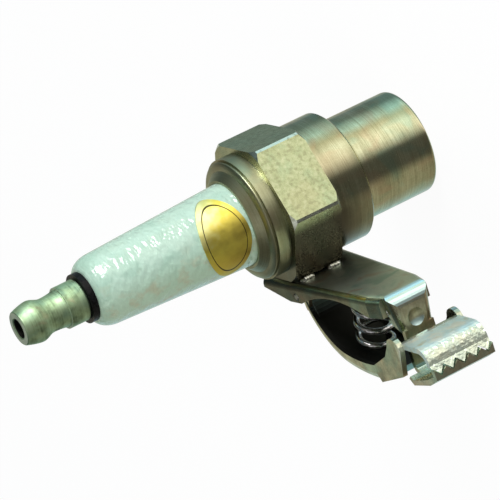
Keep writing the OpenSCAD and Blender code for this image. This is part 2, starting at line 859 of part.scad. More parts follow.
// The spring's wire, along its own axis: its ends run straight on to the plate and the belly
coil_r = (spring_d - wire_d) / 2;
spring_top = [spring_reach, plate_under + wire_d / 2 * sin(spring_lean)];
from_belly = spring_top - belly_c;
belly_way = from_belly * [-sin(spring_lean), cos(spring_lean)];
rest_r = belly_r - sheet - spring_gap;
spring_l = sqrt(rest_r * rest_r - from_belly * from_belly + belly_way * belly_way) - belly_way;
coil_start = end_run * wire_d;
coil_end = spring_l - end_run * wire_d;
curl_rings = 8;
wire_sides = 6;
coil_rings = curl_rings * turns;
wire_path = concat(
    [[0, 0]],
    [for (i = [0 : coil_rings])
        [coil_start + (coil_end - coil_start) * i / coil_rings, 360 * i / curl_rings]],
    [[spring_l, 360 * turns]]);
function wire_point(q) = [-q[0], -coil_r * sin(q[1]), coil_r * cos(q[1])];
wire_points = [for (q = wire_path) wire_point(q)];
function unit(v) = v / norm(v);
function wire_step(i) = unit(wire_points[i + 1] - wire_points[i]);
function wire_dir(i) =
    i == 0 || i == len(wire_points) - 1 ? [-1, 0, 0] : unit(wire_step(i) + wire_step(i - 1));
function wire_ring(i) = let (
    out = [0, -sin(wire_path[i][1]), cos(wire_path[i][1])],
    side = cross(wire_dir(i), out))
    [for (k = [0 : wire_sides - 1])
        wire_points[i] + wire_d / 2 * (cos(360 * k / wire_sides) * out + sin(360 * k / wire_sides) * side)];
wire_gap = min([for (i = [0 : len(wire_points) - 1], j = [i + curl_rings / 2 : 1 : len(wire_points) - 1])
    norm(wire_points[i] - wire_points[j])]) - wire_d;
echo(spring_least_gap = wire_gap);

module clip_spring() {
    n = len(wire_points);
    color("dimgray")
        translate([-spring_top.y, -spring_top.x, clip_z])
            rotate(-spring_lean)
                polyhedron(
                    [for (i = [0 : n - 1]) each wire_ring(i)],
                    concat(
                        [for (i = [0 : n - 2], k = [0 : wire_sides - 1])
                            each strip(i * wire_sides + (k + 1) % wire_sides, i * wire_sides + k,
                                       wire_sides)],
                        [for (k = [1 : wire_sides - 2]) [0, k, k + 1]],
                        [for (k = [1 : wire_sides - 2]) (n - 1) * wire_sides * [1, 1, 1] + [0, k + 1, k]]));
}

metal_shell();
insulator();
oval_label();
terminal_nut();
terminal_washer();
terminal_stud();
glass_seal();
center_electrode();
electrode_core();
lower_packing_ring();
talc_seal();
upper_packing_ring();
seat_gasket();
fixed_jaw();
weld_beads();
moving_jaw();
pivot_pin();
clip_spring();
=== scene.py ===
"""Finishes, terminal nut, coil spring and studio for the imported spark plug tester."""

import math

import bmesh
import bpy
from bpy.props import FloatProperty, FloatVectorProperty, IntProperty, PointerProperty
from mathutils import Matrix, Vector


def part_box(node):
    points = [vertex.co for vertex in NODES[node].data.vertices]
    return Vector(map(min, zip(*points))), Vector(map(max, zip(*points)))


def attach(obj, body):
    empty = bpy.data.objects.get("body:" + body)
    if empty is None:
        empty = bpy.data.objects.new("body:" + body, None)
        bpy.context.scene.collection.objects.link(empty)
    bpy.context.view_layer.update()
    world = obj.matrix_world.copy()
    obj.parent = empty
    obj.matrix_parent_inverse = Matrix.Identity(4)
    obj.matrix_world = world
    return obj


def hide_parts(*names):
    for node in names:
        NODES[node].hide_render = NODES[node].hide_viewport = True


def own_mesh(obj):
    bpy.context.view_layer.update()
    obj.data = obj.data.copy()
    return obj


bl_info = {
    "name": "Spark Plug Tester",
    "version": (1, 0, 0),
    "blender": (4, 5, 0),
    "location": "View3D > Sidebar > Tester",
    "description": "Finishes, terminal nut, coil spring and studio of a spark plug tester",
    "category": "Object",
}

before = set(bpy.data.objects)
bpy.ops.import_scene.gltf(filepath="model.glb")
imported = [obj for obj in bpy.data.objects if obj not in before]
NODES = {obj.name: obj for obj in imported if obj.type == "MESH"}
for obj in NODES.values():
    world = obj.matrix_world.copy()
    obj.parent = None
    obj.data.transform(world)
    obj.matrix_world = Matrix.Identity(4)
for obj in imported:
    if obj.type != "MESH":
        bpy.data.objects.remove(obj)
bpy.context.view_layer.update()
MM = 0.001
METAL = {"Metallic": 1.0}
# Range that most of a cloudy pattern falls in
CLOUD = (0.3, 0.7)


def band(none, full):
    """Two places in millimetres: where a finish is not there yet, and where it is full."""
    return none * MM, full * MM


def colour(name, default, description):
    """A linear colour that the panel shows."""
    return FloatVectorProperty(
        name=name, description=description, default=default, size=3, min=0.0, max=1.0, subtype="COLOR"
    )


def length(name, millimetres, description):
    """A length in metres, given here in millimetres."""
    return FloatProperty(
        name=name, description=description, default=millimetres * MM, min=0.0, precision=5, unit="LENGTH"
    )


def angle(name, degrees, description):
    """An angle in radians, given here in degrees."""
    return FloatProperty(name=name, description=description, default=math.radians(degrees), subtype="ANGLE")


def count(name, default, least, description):
    """A whole number with a lower limit."""
    return IntProperty(name=name, description=description, default=default, min=least)


class TesterFinishes(bpy.types.PropertyGroup):
    """Colours of the tester's surfaces"""

    shell_dark: colour("Shell, dark", (0.290, 0.285, 0.170), "Plating of the shell in its darkest streaks")
    shell_mid: colour("Shell, middle", (0.520, 0.520, 0.330), "Plating of the shell between the streaks")
    shell_pale: colour("Shell, pale", (0.740, 0.750, 0.520), "Plating of the shell where it is worn bright")
    clip_dark: colour("Clip, dark", (0.190, 0.195, 0.125), "Plating of the clip in its darkest patches")
    clip_mid: colour("Clip, middle", (0.400, 0.410, 0.275), "Plating of the clip between the patches")
    clip_pale: colour("Clip, pale", (0.660, 0.670, 0.480), "Plating of the clip where it is worn bright")
    # Painted light on the top of the clip's plate and on the nut's tip face
    top_painted_light: colour("Clip, top", (0.900, 0.980, 0.860), "Plating on top of the clip's plate")
    # Painted highlight on the bend of the clip's plate, and a tone of the jaw's worn plating
    bend: colour("Clip, bend", (0.700, 0.940, 0.950), "Plating on the bend of the clip's plate")
    # Heat tint of the weld, which also serves as painted shade on the shell's lower side and on the plate
    # near the hexagon
    heat_tint_and_shade: colour("Burnt steel", (0.070, 0.060, 0.045), "Steel darkened by the weld's heat")
    # Bright worn plating on the upper jaw, and a painted highlight along the hexagon's edges
    bright_jaw_and_edge_highlight: colour("Upper jaw", (0.900, 0.960, 0.860), "Bright plating on the upper jaw")
    flat_cast: colour("Hexagon", (0.430, 0.520, 0.270), "Duller plating on the hexagon's flats")
    green_cast: colour("Green cast", (0.300, 0.520, 0.400), "Green cast of the plating")
    rose_cast: colour("Rose cast", (0.640, 0.420, 0.270), "Rose cast of the plating")
    glaze: colour("Glaze", (0.570, 0.790, 0.650), "Glaze of the insulator")
    glaze_cool: colour("Glaze, cool", (0.460, 0.700, 0.560), "Green tinge in the glaze")
    # Painted warm light on the insulator's lower side
    warm_lower_side_light: colour("Glaze, warm", (0.660, 0.880, 0.600), "Yellow tinge in the glaze's lower side")
    glaze_stain: colour("Glaze, stain", (0.650, 0.590, 0.370), "Pale brown stain in the glaze")
    terminal: colour("Terminal", (0.420, 0.560, 0.340), "Plating of the terminal nut")
    terminal_pale: colour("Terminal, pale", (0.560, 0.740, 0.500), "Worn plating of the terminal nut")
    foil: colour("Label foil", (0.880, 0.720, 0.120), "Gold foil of the label")
    foil_pale: colour("Label foil, pale", (0.930, 0.900, 0.420), "Foil of the label where it is brightest")
    # Foil darkened by painted shade and by its creases
    foil_dark: colour("Label foil, dark", (0.520, 0.380, 0.070), "Foil of the label where it has dulled")
    print_ink: colour("Label border", (0.060, 0.045, 0.015), "Ink of the label's border line")
    wire: colour("Spring wire", (0.640, 0.630, 0.640), "Drawn wire of the spring")
    # Painted shade inside the clip and in the nut's hole
    shade: colour("Shaded steel", (0.034, 0.034, 0.030), "Dull black inside the clip and the nut's hole")


class TesterLabel(bpy.types.PropertyGroup):
    """Sizes of the print on the oval label"""

    middle_z: length("Middle height", 35.2, "Height of the label's middle above the barrel's rim")
    half_w: length("Half width", 5.69, "Half of the label's width, measured straight across")
    half_h: length("Half height", 3.85, "Half of the label's height")
    inset: length("Border inset", 0.75, "Distance of the border line from the label's edge")
    line_w: length("Border line", 0.2, "Width of the border line")
    turn: angle("Turn", 6, "How far the label's middle is turned from the front")


class TesterNut(bpy.types.PropertyGroup):
    """Sizes of the terminal nut, whose ends come from its CAD node"""

    crest_d: length("Crest", 6.35, "Diameter of the snap crest and of the base")
    waist_d: length("Waist", 5.2, "Smallest diameter of the waist")
    tip_d: length("Tip", 5.2, "Diameter of the tip's flat face")
    hole_d: length("Tip hole", 2.8, "Diameter of the hole in the tip")
    hole_depth: length("Tip hole depth", 1.75, "Depth of the hole in the tip")
    stud_hole_d: length("Stud hole", 3.3, "Diameter of the hole for the stud")
    base_l: length("Base", 3.2, "Length of the straight base")
    waist_up: length("Waist height", 5.6, "Height of the waist above the washer")
    crest_up: length("Crest height", 7.7, "Height of the crest above the washer")
    step: length("Step", 0.30, "Step from the base's rim into the waist")
    chamfer: length("Chamfer", 0.25, "Chamfer of the nut's edges")
    sides: count("Sides", 96, 24, "Sides of the turned nut")
    curve_steps: count("Curve steps", 8, 3, "Steps in each curve of the outline")


class TesterSpring(bpy.types.PropertyGroup):
    """Sizes of the coil spring"""

    wire_d: length("Wire", 1.0, "Diameter of the wire")
    outer_d: length("Outer diameter", 6.0, "Diameter over the coils")
    run: length("End run", 1.0, "Run of the wire from the coils to the plate and the belly")
    bend_r: length("End bend", 0.62, "Radius of the bend between coil and end run")
    overall: length("Length", 11.04, "Length of the spring along its axis")
    top_drop: length("Top drop", 11.26, "Distance of the spring's top end from the plug's axis")
    top_reach: length("Top reach", 17.2, "Reach of the spring's top end")
    middle_z: length("Middle height", 21.4, "Height of the spring's axis above the barrel's rim")
    turns: FloatProperty(name="Turns", description="Number of turns", default=3.5, min=1.0)
    lean: angle("Lean", 18, "Lean of the spring from square to the plate")
    sides: count("Sides", 16, 6, "Sides of the wire")
    steps: count("Steps", 40, 12, "Steps in each turn")
    bend_steps: count("Bend steps", 8, 3, "Steps in the bend at each end")
    pressed: FloatProperty(
        name="Pressed",
        description="Share of its length that the spring keeps with the jaws open",
        default=0.79,
        subtype="FACTOR",
    )


class TesterStudio(bpy.types.PropertyGroup):
    """Camera and lights"""

    lens: FloatProperty(
        name="Lens", description="Focal length on a 36 mm sensor", default=282.5, unit="CAMERA"
    )
    camera_at: FloatVectorProperty(
        name="Camera",
        description="Place of the camera",
        default=(0.163760, -0.498425, 0.249482),
        subtype="TRANSLATION",
    )
    floor_r: FloatProperty(name="Floor", description="Radius of the floor", default=2.0, unit="LENGTH")
    key: FloatProperty(name="Key light", description="Power of the key light", default=2.8, unit="POWER")
    fill: FloatProperty(name="Fill light", description="Power of the fill light", default=0.5, unit="POWER")
    sky: FloatProperty(name="Room light", description="Strength of the room's even light", default=0.40)
    wall: FloatProperty(name="Walls", description="Strength of the walls that mirrors show", default=1.0)
    ceiling: FloatProperty(
        name="Ceiling", description="Share of the walls' strength above the tester", default=0.2
    )
    glow: FloatProperty(name="Floor glow", description="Strength of the floor's own white", default=1.06)


class Nodes:
    """A tree of shader nodes, with short ways to add to it."""

    def __init__(self, tree):
        self.tree = tree

    def node(self, kind, inputs=None, **settings):
        """Adds a shader node, with its settings and what feeds it."""
        made = self.tree.nodes.new("ShaderNode" + kind)
        for name, value in settings.items():
            setattr(made, name, value)
        for key, value in (inputs or {}).items():
            self.feed(made.inputs[key], value)
        return made

    def feed(self, socket, value):
        """Links a socket to another, or sets its own value."""
        if isinstance(value, bpy.types.NodeSocket):
            self.tree.links.new(value, socket)
        else:
            socket.default_value = value

    def math(self, operation, first, second=0.0):
        """One step of reckoning, on numbers or sockets."""
        return self.node("Math", {0: first, 1: second}, operation=operation).outputs[0]

    def times(self, first, *others):
        """Product of numbers or sockets."""
        for other in others:
            first = self.math("MULTIPLY", first, other)
        return first

    def plus(self, first, *others):
        """Sum of numbers or sockets."""
        for other in others:
            first = self.math("ADD", first, other)
        return first

    def rest(self, share):
        """What a share leaves of 1."""
        return self.math("SUBTRACT", 1.0, share)

    def weigh(self, patterns, weights):
        """Sum of patterns, each times its weight."""
        return self.plus(*(self.times(pattern, weight) for pattern, weight in zip(patterns, weights)))

    def span(self, value, low, high, start=0.0, end=1.0, kind="SMOOTHSTEP"):
        """Maps low..high to start..end, smoothly unless another kind is named."""
        limits = {"Value": value, "From Min": low, "From Max": high, "To Min": start, "To Max": end}
        return self.node("MapRange", limits, interpolation_type=kind).outputs["Result"]

    def ramp(self, share, places, colours):
        """Colours at places from 0 to 1, blended between."""
        made = self.node("ValToRGB", {"Fac": share})
        elements = made.color_ramp.elements
        while len(elements) < len(places):
            elements.new(1.0)
        for element, place, shade in zip(elements, places, colours):
            element.position = place
            element.color = (*shade, 1.0)
        return made.outputs["Color"]

    def split(self, vector):
        """The three coordinates of a vector."""
        return self.node("SeparateXYZ", {0: vector}).outputs

    def blend(self, share, first, second):
        """Mix of two shaders."""
        return self.node("MixShader", {0: share, 1: first.outputs[0], 2: second.outputs[0]})

    def mirrored(self, path):
        """1 for a ray that a mirror or glass sends on."""
        return self.math("MAXIMUM", path.outputs["Is Glossy Ray"], path.outputs["Is Transmission Ray"])


class Finish(Nodes):
    """A material whose patterns are read from the piece's own place, in metres."""

    def __init__(self, name, settings):
        self.material = bpy.data.materials.new(name)
        self.material.use_nodes = True
        super().__init__(self.material.node_tree)
        self.shader = self.tree.nodes["Principled BSDF"]
        for key, value in settings.items():
            self.shader.inputs[key].default_value = value
        self.source = self.node("TexCoord").outputs

    def place(self):
        """Coordinates of a point on the surface."""
        return self.split(self.source["Object"])

    def facing(self):
        """Coordinates of the direction that the surface faces."""
        return self.split(self.source["Normal"])

    def noise(self, scale, detail=3.0, distortion=0.0):
        """Cloudy pattern with about `scale` patches to a metre, which may differ along the axes."""
        stretch = scale if isinstance(scale, tuple) else (scale, scale, scale)
        spread = self.node("Mapping", {"Vector": self.source["Object"], "Scale": stretch}).outputs[0]
        inputs = {"Vector": spread, "Scale": 1.0, "Detail": detail, "Distortion": distortion}
        return self.node("TexNoise", inputs).outputs["Fac"]

    def mix(self, share, first, second):
        """Blend of two colours, which are the node's sockets 6 and 7."""
        made = self.node("Mix", {0: share}, data_type="RGBA")
        for index, value in ((6, first), (7, second)):
            self.feed(made.inputs[index], value if isinstance(value, bpy.types.NodeSocket) else (*value, 1.0))
        return made.outputs[2]

    def wear(self, base, roughness, height=None, depth=0.0):
        """Sets the colour, the roughness and a bump of some depth, and gives the material."""
        self.feed(self.shader.inputs["Base Color"], base)
        self.feed(self.shader.inputs["Roughness"], roughness)
        if height is not None:
            bump = self.node("Bump", {"Height": height, "Distance": depth, "Strength": 1.0}).outputs["Normal"]
            self.feed(self.shader.inputs["Normal"], bump)
            self.feed(self.shader.inputs["Coat Normal"], bump)
        return self.material


def cast(finish, base, finishes, share, scale):
    """Lays the plating's green and rose casts over a base colour."""
    green_from, rose_from, rose_share = (0.50, 0.68), (0.46, 0.32), 0.8
    tint = finish.noise(scale, detail=2.0, distortion=0.6)
    greened = finish.mix(finish.span(tint, *green_from, 0.0, share), base, finishes.green_cast)
    return finish.mix(finish.span(tint, *rose_from, 0.0, share * rose_share), greened, finishes.rose_cast)


def dress(material, *names):
    """Gives CAD nodes their material."""
    for name in names:
        mesh = NODES[name].data
        mesh.materials.clear()
        mesh.materials.append(material)


def put(scene, name, bm):
    """Makes an object of the scene from a bmesh."""
    mesh = bpy.data.meshes.new(name)
    bm.to_mesh(mesh)
    bm.free()
    made = bpy.data.objects.new(name, mesh)
    scene.collection.objects.link(made)
    return made


class TESTER_OT_shell(bpy.types.Operator):
    """Turned and plated finish of the shell"""

    bl_idname = "tester.shell"
    bl_label = "Finish the Shell"

    # Places along the plug, and across it to the weld's side
    SHOULDER = band(12.4, 12.8)
    HEXAGON = band(18.5, 18.9)
    HEXAGON_END = band(27.1, 26.7)
    CRIMP = band(26.8, 27.1)
    WELD_SIDE = band(0.3, -2.5)
    WELD_HEIGHT = band(12.0, 19.0)
    # Patches of the patterns to a metre
    GRAIN, BLOTCH, PITS, CASTS = 4600, 330, 1700, 210
    LATHE_LINES, LATHE_BANDS = (150, 150, 6500), (60, 60, 1100)
    # Weights of lines, bands, blotch, grain and flats in the plating's tone, and places of its three colours
    TONE = (0.34, 0.22, 0.28, 0.16, 0.14)
    TONE_STOPS = (0.34, 0.50, 0.66)
    # The hexagon: sides, weight of the grain on its flats, range of its edges, ranges of pale and dark pits
    HEXAGON_SIDES = 6.0
    FLAT_GRAIN = 0.15
    EDGES = (-0.3, -0.9)
    PALE_PITS, DARK_PITS = (0.48, 0.70), (0.50, 0.34)
    # Shares of the colours that are laid over the plating, among them a painted highlight on the hexagon's
    # edges; HEAT is the weld's heat tint with painted shade
    CAST, FLAT, EDGE, PALE_PIT, DARK_PIT = 0.38, 0.55, 0.9, 0.4, 0.55
    SHOULDER_DARK, CRIMP_DARK = 0.18, 0.4
    HEAT = (0.35, 0.95)
    # Roughness of dark and pale plating, and what flats and crimp add to it
    ROUGH_TONES, ROUGH = (0.32, 0.68), (0.24, 0.13)
    FLAT_ROUGH, CRIMP_ROUGH = 0.08, 0.22
    LINE_DEPTH = 0.005 * MM

    def flat_finish(self, finish, finishes, base, flats):
        """Duller plating on the hexagon's flats, with a painted highlight along their edges, and pitted."""
        base = finish.mix(finish.times(flats, self.FLAT), base, finishes.flat_cast)
        facing = finish.facing()
        turned = finish.times(finish.math("ARCTAN2", facing["Y"], facing["X"]), self.HEXAGON_SIDES)
        # Painted highlight along the hexagon's six edges
        edge = finish.times(flats, finish.span(finish.math("COSINE", turned), *self.EDGES))
        base = finish.mix(finish.times(edge, self.EDGE), base, finishes.bright_jaw_and_edge_highlight)
        pits = finish.noise(self.PITS, detail=5.0)
        pale = finish.times(flats, finish.span(pits, *self.PALE_PITS, 0.0, self.PALE_PIT))
        dark = finish.times(flats, finish.span(pits, *self.DARK_PITS, 0.0, self.DARK_PIT))
        return finish.mix(dark, finish.mix(pale, base, finishes.shell_pale), finishes.shell_dark)

    def execute(self, context):
        finishes = context.scene.tester_finishes
        finish = Finish("turned_plating", METAL)
        place = finish.place()
        x, z = place["X"], place["Z"]
        flats = finish.times(finish.span(z, *self.HEXAGON), finish.span(z, *self.HEXAGON_END))
        crimp = finish.span(z, *self.CRIMP)
        grain = finish.noise(self.GRAIN)
        turned = finish.noise(self.LATHE_LINES, detail=2.0)
        bands = finish.noise(self.LATHE_BANDS, detail=2.0)
        blotch = finish.noise(self.BLOTCH, detail=4.0)
        lines = finish.plus(
            finish.times(turned, finish.rest(flats)), finish.times(grain, flats, self.FLAT_GRAIN)
        )
        tone = finish.weigh((lines, bands, blotch, grain, flats), self.TONE)
        shades = finishes.shell_dark, finishes.shell_mid, finishes.shell_pale
        base = cast(finish, finish.ramp(tone, self.TONE_STOPS, shades), finishes, self.CAST, self.CASTS)
        base = self.flat_finish(finish, finishes, base, flats)
        base = finish.mix(finish.span(z, *self.SHOULDER, 0.0, self.SHOULDER_DARK), base, finishes.shell_dark)
        base = finish.mix(finish.times(crimp, self.CRIMP_DARK), base, finishes.shell_dark)
        # Weld's heat tint on the shell's lower side, also standing in for painted shade there
        heat = finish.times(
            finish.span(x, *self.WELD_SIDE),
            finish.span(z, *self.SHOULDER),
            finish.span(z, *self.WELD_HEIGHT, *self.HEAT),
            finish.rest(crimp),
        )
        base = finish.mix(heat, base, finishes.heat_tint_and_shade)
        rough = finish.plus(
            finish.span(tone, *self.ROUGH_TONES, *self.ROUGH),
            finish.times(flats, self.FLAT_ROUGH),
            finish.times(crimp, self.CRIMP_ROUGH),
        )
        dress(finish.wear(base, rough, lines, self.LINE_DEPTH), "metal_shell")
        return {"FINISHED"}


class TESTER_OT_clip(bpy.types.Operator):
    """Pressed and plated finish of the clip, its pin and its weld"""

    bl_idname = "tester.clip"
    bl_label = "Finish the Clip"

    # Places along the clip's reach
    BEHIND_JAWS = band(-31.5, -30.0)
    JAWS = band(-30.6, -32.6)
    INSIDE = band(-25.5, -24.5)
    WELD = band(-22.0, -9.0)
    # Cosines between a face and an axis: along it, partly along it, and their product on the bend
    SQUARE_UP, SQUARE_OUT = (0.75, 0.95), (-0.75, -0.95)
    PARTLY_IN, PARTLY_OUT = (0.25, 0.55), (-0.3, -0.8)
    ON_BEND = (0.03, 0.24)
    # Patches of the patterns to a metre
    STREAKS, BLOTCH, GRAIN, CASTS, DENTS = (260, 260, 2600), 420, 4200, 260, 1100
    # Weights of blotch, streaks and grain in the plating's tone, and places of the colours
    TONE = (0.50, 0.30, 0.20)
    TONE_STOPS, WORN_STOPS = (0.34, 0.50, 0.67), (0.30, 0.44, 0.64)
    # Shares of the colours that are laid over the plating, among them painted light on the plate's top and a
    # painted highlight on its bend
    CAST, PLATE, BEND, WALL, CRUSHED = 0.5, 0.75, 0.9, 0.32, 0.6
    # How much blotches sway the weld's heat tint, and the range over which it and the painted shade near the
    # hexagon darken the plating
    HEAT_BLOTCH, HEAT = 0.4, (0.25, 1.1)
    # Roughness of dark and pale plating, and of rubbed and hidden faces
    ROUGH_TONES, ROUGH = (0.34, 0.68), (0.27, 0.15)
    RUBBED, DULL = 0.72, 0.5
    # What the jaw loses of its metal look, and how deep its dents are next to the grain: all over, and more
    # where it is crushed
    JAW_MATT, DENT, CRUSHED_DENT = 0.4, 18.0, 45.0
    GRAIN_DEPTH = 0.006 * MM
    # The pin and the weld's beads: pattern, places of the colours, colours and roughness
    PIN_SCRATCH, PIN_STOPS, PIN_ROUGH = (900, 900, 5000), CLOUD, 0.4
    PIN_SHADES = (0.30, 0.29, 0.25), (0.55, 0.54, 0.48)
    BEAD_RIPPLE, BEAD_STOPS, BEAD_ROUGH = (900, 900, 2600), (0.30, 0.52, 0.72), 0.16
    BEAD_SHADES = (0.10, 0.10, 0.08), (0.30, 0.30, 0.25), (0.70, 0.70, 0.64)
    BEAD_DEPTH = 0.10 * MM

    def plating(self, finishes, name, bright, inside, inside_shade, heat_tint_and_shade):
        """Plating of one half of the clip, bright on the jaw, with painted shade inside, and darkened near
        the weld by its heat tint and by painted shade.

        `inside` is 1 or -1, the way along X in which the half's inner faces look. The others are shares.
        """
        finish = Finish(name, METAL)
        y = finish.place()["Y"]
        facing = finish.facing()
        up, out = facing["X"], facing["Y"]
        streaks = finish.noise(self.STREAKS)
        blotch = finish.noise(self.BLOTCH, detail=4.0)
        grain = finish.noise(self.GRAIN, detail=2.0)
        tone = finish.weigh((blotch, streaks, grain), self.TONE)
        behind = finish.span(y, *self.BEHIND_JAWS)
        plate = finish.times(finish.span(up, *self.SQUARE_UP), behind)
        bend = finish.times(finish.span(finish.times(up, out, -1.0), *self.ON_BEND, 0.0, self.BEND), behind)
        wall = finish.span(out, *self.SQUARE_OUT)
        crushed = finish.span(out, *self.PARTLY_OUT)
        jaw = finish.span(y, *self.JAWS, 0.0, bright)
        heat = finish.plus(finish.span(y, *self.WELD), finish.times(blotch, self.HEAT_BLOTCH))
        hidden = finish.times(
            finish.span(finish.times(up, inside), *self.PARTLY_IN), finish.span(y, *self.INSIDE)
        )
        worn = finish.ramp(
            blotch, self.WORN_STOPS, (finishes.clip_pale, finishes.bend, finishes.bright_jaw_and_edge_highlight)
        )
        worn = finish.mix(finish.times(crushed, self.CRUSHED), worn, finishes.shell_pale)
        base = finish.ramp(tone, self.TONE_STOPS, (finishes.clip_dark, finishes.clip_mid, finishes.clip_pale))
        # Painted light on the plate's top face
        base = finish.mix(finish.times(plate, self.PLATE), base, finishes.top_painted_light)
        base = cast(finish, base, finishes, self.CAST, self.CASTS)
        base = finish.mix(finish.times(wall, self.WALL), base, finishes.rose_cast)
        base = finish.mix(jaw, base, worn)
        # Painted highlight on the plate's bend
        base = finish.mix(bend, base, finishes.bend)
        # Weld's heat tint towards the hexagon, also standing in for painted shade there
        base = finish.mix(finish.span(heat, *self.HEAT, 0.0, heat_tint_and_shade), base, finishes.heat_tint_and_shade)
        # Painted shade on the clip's inner faces
        base = finish.mix(finish.times(hidden, inside_shade), base, finishes.shade)
        rubbed = finish.math("MINIMUM", finish.plus(plate, wall, jaw), 1.0)
        dull = finish.math("MAXIMUM", hidden, finish.times(rubbed, self.RUBBED))
        rough = finish.math(
            "MAXIMUM", finish.span(tone, *self.ROUGH_TONES, *self.ROUGH), finish.times(dull, self.DULL)
        )
        finish.feed(finish.shader.inputs["Metallic"], finish.rest(finish.times(jaw, self.JAW_MATT)))
        crush = finish.plus(finish.times(crushed, self.CRUSHED_DENT), self.DENT)
        dents = finish.times(finish.noise(self.DENTS, detail=2.0), jaw, crush)
        return finish.wear(base, rough, finish.plus(dents, grain, streaks), self.GRAIN_DEPTH)

    def execute(self, context):
        finishes = context.scene.tester_finishes
        fixed = self.plating(finishes, "clip_plating", bright=0.15, inside=-1.0, inside_shade=0.45, heat_tint_and_shade=0.55)
        moving = self.plating(finishes, "handle_plating", bright=0.9, inside=1.0, inside_shade=1.0, heat_tint_and_shade=0.0)
        dress(fixed, "fixed_jaw")
        dress(moving, "moving_jaw")
        pin = Finish("pin_steel", METAL)
        steel = pin.ramp(pin.noise(self.PIN_SCRATCH), self.PIN_STOPS, self.PIN_SHADES)
        dress(pin.wear(steel, self.PIN_ROUGH), "pivot_pin")
        bead = Finish("weld_metal", METAL)
        ripple = bead.noise(self.BEAD_RIPPLE, detail=2.0)
        molten = bead.ramp(ripple, self.BEAD_STOPS, self.BEAD_SHADES)
        dress(bead.wear(molten, self.BEAD_ROUGH, ripple, self.BEAD_DEPTH), "weld_beads")
        return {"FINISHED"}


class TESTER_OT_insulator(bpy.types.Operator):
    """Glazed ceramic and the washer at its end"""

    bl_idname = "tester.insulator"
    bl_label = "Finish the Insulator"

    GLAZE = {"Coat Weight": 0.7, "Coat Roughness": 0.06, "Coat IOR": 1.75, "Specular IOR Level": 0.25}
    # Places across the insulator, from its upper to its lower side
    WARM_SIDE = band(2.5, -3.5)
    STAINED_SIDE = band(3.0, -2.0)
    # Patches of the patterns to a metre
    CLOUDS, RIPPLE, STAINS = 230, (680, 680, 1156), (460, 460, 368)
    # Ranges of clouds and stains, and the shares of their colours; WARM is the share of painted warm light on
    # the lower side
    COOL_RANGE, STAIN_RANGE = (0.42, 0.66), (0.50, 0.70)
    COOL, WARM, STAIN, LEAST_STAIN = 0.75, 0.7, 0.55, 0.1
    ROUGH = (0.22, 0.38)
    RIPPLE_DEPTH = 0.28 * MM
    # The washer: pattern, places of the colours, colours, roughness and bump
    WASHER = {"Specular IOR Level": 0.12}
    FLECKS, FLECK_STOPS = 3000, (0.35, 0.7)
    WASHER_SHADES = (0.003, 0.003, 0.003), (0.012, 0.012, 0.013)
    WASHER_ROUGH = 0.3
    FLECK_DEPTH = 0.05 * MM

    def execute(self, context):
        finishes = context.scene.tester_finishes
        glaze = Finish("glazed_ceramic", self.GLAZE)
        x = glaze.place()["X"]
        cloud = glaze.noise(self.CLOUDS, distortion=0.4)
        ripple = glaze.noise(self.RIPPLE, detail=1.5)
        stain = glaze.noise(self.STAINS, detail=4.0)
        cool = glaze.span(cloud, *self.COOL_RANGE, 0.0, self.COOL)
        # Painted warm light on the insulator's lower side
        warm = glaze.span(x, *self.WARM_SIDE, 0.0, self.WARM)
        stained = glaze.times(
            glaze.span(stain, *self.STAIN_RANGE, 0.0, self.STAIN),
            glaze.span(x, *self.STAINED_SIDE, self.LEAST_STAIN, 1.0),
        )
        base = glaze.mix(cool, finishes.glaze, finishes.glaze_cool)
        base = glaze.mix(warm, base, finishes.warm_lower_side_light)
        base = glaze.mix(stained, base, finishes.glaze_stain)
        rough = glaze.span(ripple, *CLOUD, *self.ROUGH)
        dress(glaze.wear(base, rough, ripple, self.RIPPLE_DEPTH), "insulator")
        washer = Finish("black_washer", self.WASHER)
        fleck = washer.noise(self.FLECKS)
        black = washer.ramp(fleck, self.FLECK_STOPS, self.WASHER_SHADES)
        dress(washer.wear(black, self.WASHER_ROUGH, fleck, self.FLECK_DEPTH), "terminal_washer")
        return {"FINISHED"}


